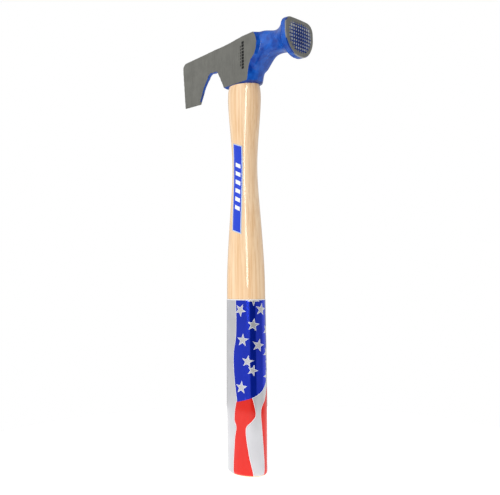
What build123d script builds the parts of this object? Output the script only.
"""A drywall hammer: a forged steel head with a nail-slot blade and a waffle face, wedged on an oval
hickory handle that carries a neck label and a printed grip wrap.

Millimetres. The origin is the middle of the handle's flat butt, +Z runs up the handle to the head,
+X points out of the striking face and -X to the cutting edge. The head is symmetric about y = 0.
"""

import os

from build123d import *

# ---- driving dimensions ----------------------------------------------------------------------
HEAD_BOTTOM = 311.2  # the eye's lower mouth, above the butt
HEAD_TOP = 349.4  # flat top of the steel at the eye
EYE_TOP = HEAD_TOP + 0.6  # the eye's cutter runs out above the steel
TENON_TOP = HEAD_TOP - 1.0  # the tenon is sawn off level with the sloping top of the cheeks

# handle: (height, half length along X, half width along Y) of each oval section
GRIP_SECTIONS = [
    (10.0, 17.9, 12.7),
    (45.0, 18.1, 12.8),
    (100.0, 17.7, 12.6),
    (138.0, 17.2, 12.3),
]
NECK_SECTIONS = [
    (138.0, 17.2, 12.3),
    (152.0, 17.15, 12.3),
    (166.0, 16.65, 12.05),
    (184.0, 15.35, 11.45),
    (204.0, 13.6, 10.6),
    (224.0, 11.75, 9.6),
    (242.0, 10.65, 9.0),
    (256.0, 11.1, 9.15),
    (272.0, 12.6, 9.7),
    (288.0, 14.3, 10.4),
    (300.0, 15.1, 10.6),
    (307.0, 14.8, 10.2),
    (HEAD_BOTTOM, 14.0, 9.4),
]
BUTT_ROUND = 4.0  # round on the butt's edge, below the lowest section

# eye: two circles joined by straight cheeks, (height, back radius, front radius)
EYE_BACK_X, EYE_FRONT_X = -6.4, 5.0
SAW_REACH = 60.0  # wider than the eye both ways
EYE_SECTIONS = [
    (HEAD_BOTTOM, 3.5, 6.1),
    (330.0, 3.0, 5.5),
    (EYE_TOP, 3.9, 6.7),
]

# blade and cheeks, side view as (x, z), round from the cutting edge's lower end
EDGE_BOTTOM, LEG_HEEL = (-66.8, 302.8), (-49.4, 303.9)
SLOT_LEFT, SLOT_SHOULDER = (-43.7, 317.2), (-38.8, 324.8)
SLOT_CORNER = (-37.6, 326.6)
SLOT_ROOF_LEFT, SLOT_ROOF_RIGHT = (-35.8, 327.7), (-27.7, 328.0)
EYE_BACK = (-18.6, HEAD_BOTTOM)
BLADE_TOP_BACK, BLADE_TOP_MID, BLADE_TOP_FRONT = (6.0, HEAD_TOP), (-30.5, 346.6), (-64.8, 342.4)
BLADE_CORNER, EDGE_TOP = (-68.3, 340.7), (-69.6, 337.2)

BLANK_FRONT = 30.5  # the blank ends inside the poll

# blade and cheeks, plan view: half thickness of the ground sides at each x
EDGE_X, EDGE_HALF = -72.0, 0.35
GROUND_SIDES = [
    (-40.0, 1.6),
    (-30.0, 2.3),
    (-20.0, 3.2),
    (-11.0, 4.9),
    (-2.0, 7.0),
    (10.0, 9.7),
    (BLANK_FRONT, 14.4),
]

# poll corners: where the front facet ends at each height; the corner facets run back from its edges
FRONT_HALF = 4.0
FACET_RUN, FACET_RISE = 22.0, 26.0
TRIM_BACK = -90.0  # behind the cutting edge
LEG_TRIM_FRONT, LEG_TRIM_DEPTH = -20.0, 20.0  # the blade's leg hangs below the eye's mouth
FRONT_AT = [
    (HEAD_BOTTOM, 14.9),
    (313.4, 16.5),
    (316.0, 17.3),
    (320.0, 18.0),
    (323.5, 19.1),
    (328.0, 22.0),
    (331.0, 27.2),
    (335.2, 30.0),
    (340.7, 31.0),
    (345.2, 29.6),
    (HEAD_TOP, 26.7),
]
FOOT_CHAMFER = 1.5
SAME_HEIGHT = 0.01

# poll and bell: (x, half width, underside, top, upper corner round, lower corner round)
POLL_SECTIONS = [
    (17.0, 10.6, 319.8, 349.3, 3.6, 5.0),
    (25.0, 9.8, 328.2, 350.0, 4.6, 6.0),
    (31.0, 9.3, 331.2, 349.4, 5.0, 6.4),
    (37.0, 9.4, 331.8, 348.3, 5.2, 6.8),
    (42.8, 11.2, 331.2, 348.7, 5.6, 8.6),
    (47.4, 14.0, 328.7, 350.4, 6.4, 12.0),
    (51.7, 17.7, 324.6, 353.0, 7.4, 16.4),
]
RIM_BACK_X, RIM_FRONT_X = 51.7, 56.4
FACE_HALF, FACE_LOW, FACE_HIGH = 17.8, 324.1, 353.2
FACE_ROUND_HIGH, FACE_ROUND_LOW = 7.6, 17.0
CROWN_RADIUS = 150.0
FACE_PEAK = RIM_FRONT_X + 1.1  # the crowned face's highest point
FACE_CHAMFER = 0.7
CROWN_STOCK = 1.0  # length added to the rim and cut away by the crown

# waffle face
TOOTH_PITCH = 2.68
GROOVE_HALF = 0.95  # half width of a groove at the tooth tips
GROOVE_DEPTH = 1.0
GROOVES_EACH_WAY = 7
WAFFLE_BORDER = 3.2
WAFFLE_BACK = FACE_PEAK - 3.0  # the grooves' limit reaches from here
WAFFLE_REACH = 4.0  # to in front of the face

# wedges
WEDGE_DEPTH, WEDGE_THICK, WEDGE_TIP = 26.0, 3.2, 0.8
WEDGE_LENGTH = 60.0  # before it is trimmed to the eye
STEEL_WEDGES = [(-4.6, 6.0), (5.0, 9.0)]  # (x, width)
STEEL_WEDGE_DEPTH, STEEL_WEDGE_THICK, STEEL_WEDGE_TIP = 14.0, 1.7, 0.4

# label and wrap
FILM = 0.2
FILM_REACH = 60.0  # wider than the handle
WRAP_BOTTOM, WRAP_TOP = 1.2, 139.0
LABEL_LOW, LABEL_HIGH, LABEL_HALF, LABEL_SLANT = 190.6, 264.2, 4.75, 3.2


def handle_body(grow=0.0):
    """The handle's outside, grown outwards all over by the same amount."""
    foot_height, foot_x, foot_y = GRIP_SECTIONS[0]
    with BuildPart() as body:
        with BuildSketch(Plane.XY.offset(-grow)):
            Ellipse(foot_x + grow, foot_y + grow)
        extrude(amount=foot_height + grow)
        fillet(body.edges().sort_by(Axis.Z)[0], BUTT_ROUND + grow)
        for height, half_x, half_y in GRIP_SECTIONS:
            with BuildSketch(Plane.XY.offset(height)):
                Ellipse(half_x + grow, half_y + grow)
        loft(ruled=True)
        for height, half_x, half_y in NECK_SECTIONS:
            with BuildSketch(Plane.XY.offset(height)):
                Ellipse(half_x + grow, half_y + grow)
        loft()
    return body.part


def eye_loft():
    """The eye's tapered shape, from its lower mouth to just above the steel."""
    with BuildPart() as body:
        for height, back, front in EYE_SECTIONS:
            with BuildSketch(Plane.XY.offset(height)):
                with Locations((EYE_BACK_X, 0)):
                    Circle(back)
                with Locations((EYE_FRONT_X, 0)):
                    Circle(front)
                make_hull()
        loft()
    return body.part


def tenon_plug():
    """The wood that fills the eye, sawn off at the tenon's top."""
    with BuildPart() as body:
        add(eye_loft())
        with BuildSketch(Plane.XY.offset(TENON_TOP)):
            Rectangle(SAW_REACH, SAW_REACH)
        extrude(amount=EYE_TOP - TENON_TOP, mode=Mode.SUBTRACT)
    return body.part


def wedge_prism(depth, thick, tip, length, along):
    """A wedge whose flat top is at the tenon's top, tapering down to its tip."""
    plane = Plane.YZ if along == "x" else Plane.XZ
    with BuildPart() as prism:
        with BuildSketch(plane):
            with BuildLine():
                Polyline(
                    (-thick / 2, TENON_TOP),
                    (thick / 2, TENON_TOP),
                    (tip / 2, TENON_TOP - depth),
                    (-tip / 2, TENON_TOP - depth),
                    close=True,
                )
            make_face()
        extrude(amount=length / 2, both=True)
    return prism.part


# ---- head: ground blade and cheeks -----------------------------------------------------------
with BuildPart() as side_slab:
    with BuildSketch(Plane.XZ):
        with BuildLine():
            Polyline(EDGE_TOP, EDGE_BOTTOM, LEG_HEEL, SLOT_LEFT, SLOT_SHOULDER)
            ThreePointArc(SLOT_SHOULDER, SLOT_CORNER, SLOT_ROOF_LEFT)
            Polyline(SLOT_ROOF_LEFT, SLOT_ROOF_RIGHT, EYE_BACK, (BLANK_FRONT, HEAD_BOTTOM))
            Polyline((BLANK_FRONT, HEAD_BOTTOM), (BLANK_FRONT, HEAD_TOP), BLADE_TOP_BACK)
            Polyline(BLADE_TOP_BACK, BLADE_TOP_MID, BLADE_TOP_FRONT)
            ThreePointArc(BLADE_TOP_FRONT, BLADE_CORNER, EDGE_TOP)
        make_face()
    extrude(amount=FACET_RISE, both=True)

with BuildPart() as plan_slab:
    with BuildSketch(Plane.XY.offset(HEAD_BOTTOM - LEG_TRIM_DEPTH)):
        with BuildLine():
            Polyline((EDGE_X, 0), (EDGE_X, EDGE_HALF), GROUND_SIDES[0])
            Spline(*GROUND_SIDES)
            Polyline(GROUND_SIDES[-1], (BLANK_FRONT, 0), (EDGE_X, 0))
        make_face()
        mirror(about=Plane.XZ)
    extrude(amount=HEAD_TOP - HEAD_BOTTOM + LEG_TRIM_DEPTH)

with BuildPart() as corner_trim:
    for height, front in FRONT_AT:
        with BuildSketch(Plane.XY.offset(height)):
            with BuildLine():
                Polyline(
                    (TRIM_BACK, -FRONT_HALF - FACET_RISE),
                    (front - FACET_RUN, -FRONT_HALF - FACET_RISE),
                    (front, -FRONT_HALF),
                    (front, FRONT_HALF),
                    (front - FACET_RUN, FRONT_HALF + FACET_RISE),
                    (TRIM_BACK, FRONT_HALF + FACET_RISE),
                    close=True,
                )
            make_face()
    loft(ruled=True)
    with BuildSketch(Plane.XY.offset(HEAD_BOTTOM)):
        with Locations(((TRIM_BACK + LEG_TRIM_FRONT) / 2, 0)):
            Rectangle(LEG_TRIM_FRONT - TRIM_BACK, 2 * (FRONT_HALF + FACET_RISE))
    extrude(amount=-LEG_TRIM_DEPTH)

with BuildPart() as blank:
    add(side_slab.part)
    add(plan_slab.part, mode=Mode.INTERSECT)
    add(corner_trim.part, mode=Mode.INTERSECT)
    level_faces = blank.faces().filter_by(Axis.Z)
    foot = level_faces.filter_by(lambda face: abs(face.center().Z - HEAD_BOTTOM) < SAME_HEIGHT)
    chamfer(foot.edges(), FOOT_CHAMFER)

# ---- head: poll, bell and face ---------------------------------------------------------------
with BuildPart() as poll:
    for x, half, low, high, round_high, round_low in POLL_SECTIONS:
        with BuildSketch(Plane.YZ.offset(x)) as poll_section:
            with Locations((0, (low + high) / 2)):
                Rectangle(2 * half, high - low)
            fillet(poll_section.vertices().group_by(Axis.Y)[0], round_low)
            fillet(poll_section.vertices().group_by(Axis.Y)[-1], round_high)
    loft()

with BuildPart() as rim:
    with BuildSketch(Plane.YZ.offset(RIM_BACK_X)) as rim_outline:
        with Locations((0, (FACE_LOW + FACE_HIGH) / 2)):
            Rectangle(2 * FACE_HALF, FACE_HIGH - FACE_LOW)
        fillet(rim_outline.vertices().group_by(Axis.Y)[0], FACE_ROUND_LOW)
        fillet(rim_outline.vertices().group_by(Axis.Y)[-1], FACE_ROUND_HIGH)
    extrude(amount=FACE_PEAK - RIM_BACK_X + CROWN_STOCK)
    # the striking face is slightly crowned
    with Locations((FACE_PEAK - CROWN_RADIUS, 0, (FACE_LOW + FACE_HIGH) / 2)):
        Sphere(CROWN_RADIUS, mode=Mode.INTERSECT)
    chamfer(rim.faces().sort_by(Axis.X)[-1].edges(), FACE_CHAMFER)

with BuildPart() as waffle_area:
    with BuildSketch(Plane.YZ.offset(WAFFLE_BACK)) as waffle_outline:
        with Locations((0, (FACE_LOW + FACE_HIGH) / 2)):
            Rectangle(2 * FACE_HALF, FACE_HIGH - FACE_LOW)
        fillet(waffle_outline.vertices().group_by(Axis.Y)[0], FACE_ROUND_LOW)
        fillet(waffle_outline.vertices().group_by(Axis.Y)[-1], FACE_ROUND_HIGH)
        offset(amount=-WAFFLE_BORDER)
    extrude(amount=WAFFLE_REACH)

with BuildPart() as grooves:
    # two crossing sets of V grooves leave rows of square teeth
    for plane, start, length in [
        (Plane.XY.offset(FACE_LOW), 0.0, FACE_HIGH - FACE_LOW),
        (Plane.XZ.offset(-FACE_HALF), (FACE_LOW + FACE_HIGH) / 2, 2 * FACE_HALF),
    ]:
        for step in range(-GROOVES_EACH_WAY, GROOVES_EACH_WAY):
            with BuildSketch(plane):
                with Locations((FACE_PEAK, start + (step + 0.5) * TOOTH_PITCH)):
                    Polygon(
                        (0.0, -GROOVE_HALF),
                        (0.0, GROOVE_HALF),
                        (-GROOVE_DEPTH, 0.0),
                        align=None,
                    )
            extrude(amount=length)
    add(waffle_area.part, mode=Mode.INTERSECT)

with BuildPart() as head:
    add(blank.part)
    add(poll.part)
    add(rim.part)
    add(grooves.part, mode=Mode.SUBTRACT)
    add(eye_loft(), mode=Mode.SUBTRACT)

# ---- wedges ----------------------------------------------------------------------------------
wood_prism = wedge_prism(WEDGE_DEPTH, WEDGE_THICK, WEDGE_TIP, WEDGE_LENGTH, "x")
steel_prisms = [
    Pos(x, 0, 0) * wedge_prism(STEEL_WEDGE_DEPTH, STEEL_WEDGE_THICK, STEEL_WEDGE_TIP, width, "y")
    for x, width in STEEL_WEDGES
]

with BuildPart() as wood_wedge:
    add(tenon_plug())
    add(wood_prism, mode=Mode.INTERSECT)
    for prism in steel_prisms:
        add(prism, mode=Mode.SUBTRACT)

with BuildPart() as steel_wedge_1:
    add(steel_prisms[0])

with BuildPart() as steel_wedge_2:
    add(steel_prisms[1])

# ---- handle ----------------------------------------------------------------------------------
with BuildPart() as handle:
    add(handle_body())
    add(tenon_plug())
    add(wood_prism, mode=Mode.SUBTRACT)
    for prism in steel_prisms:
        add(prism, mode=Mode.SUBTRACT)

# ---- printed grip wrap and neck label --------------------------------------------------------
with BuildPart() as grip_wrap:
    add(handle_body(FILM))
    with Locations((0, 0, (WRAP_BOTTOM + WRAP_TOP) / 2)):
        Box(FILM_REACH, FILM_REACH, WRAP_TOP - WRAP_BOTTOM, mode=Mode.INTERSECT)
    add(handle.part, mode=Mode.SUBTRACT)

with BuildPart() as handle_label:
    add(handle_body(FILM))
    with BuildSketch(Plane.XZ):
        with BuildLine():
            Polyline(
                (-LABEL_HALF, LABEL_LOW + LABEL_SLANT),
                (LABEL_HALF, LABEL_LOW),
                (LABEL_HALF, LABEL_HIGH - LABEL_SLANT),
                (-LABEL_HALF, LABEL_HIGH),
                close=True,
            )
        make_face()
    extrude(amount=FILM_REACH, mode=Mode.INTERSECT)
    add(handle.part, mode=Mode.SUBTRACT)

os.makedirs("parts", exist_ok=True)

head.part.label = "head"
export_step(head.part, "parts/head.step")
handle.part.label = "handle"
export_step(handle.part, "parts/handle.step")
wood_wedge.part.label = "wood_wedge"
export_step(wood_wedge.part, "parts/wood_wedge.step")
steel_wedge_1.part.label = "steel_wedge_1"
export_step(steel_wedge_1.part, "parts/steel_wedge_1.step")
steel_wedge_2.part.label = "steel_wedge_2"
export_step(steel_wedge_2.part, "parts/steel_wedge_2.step")
grip_wrap.part.label = "grip_wrap"
export_step(grip_wrap.part, "parts/grip_wrap.step")
handle_label.part.label = "handle_label"
export_step(handle_label.part, "parts/handle_label.step")
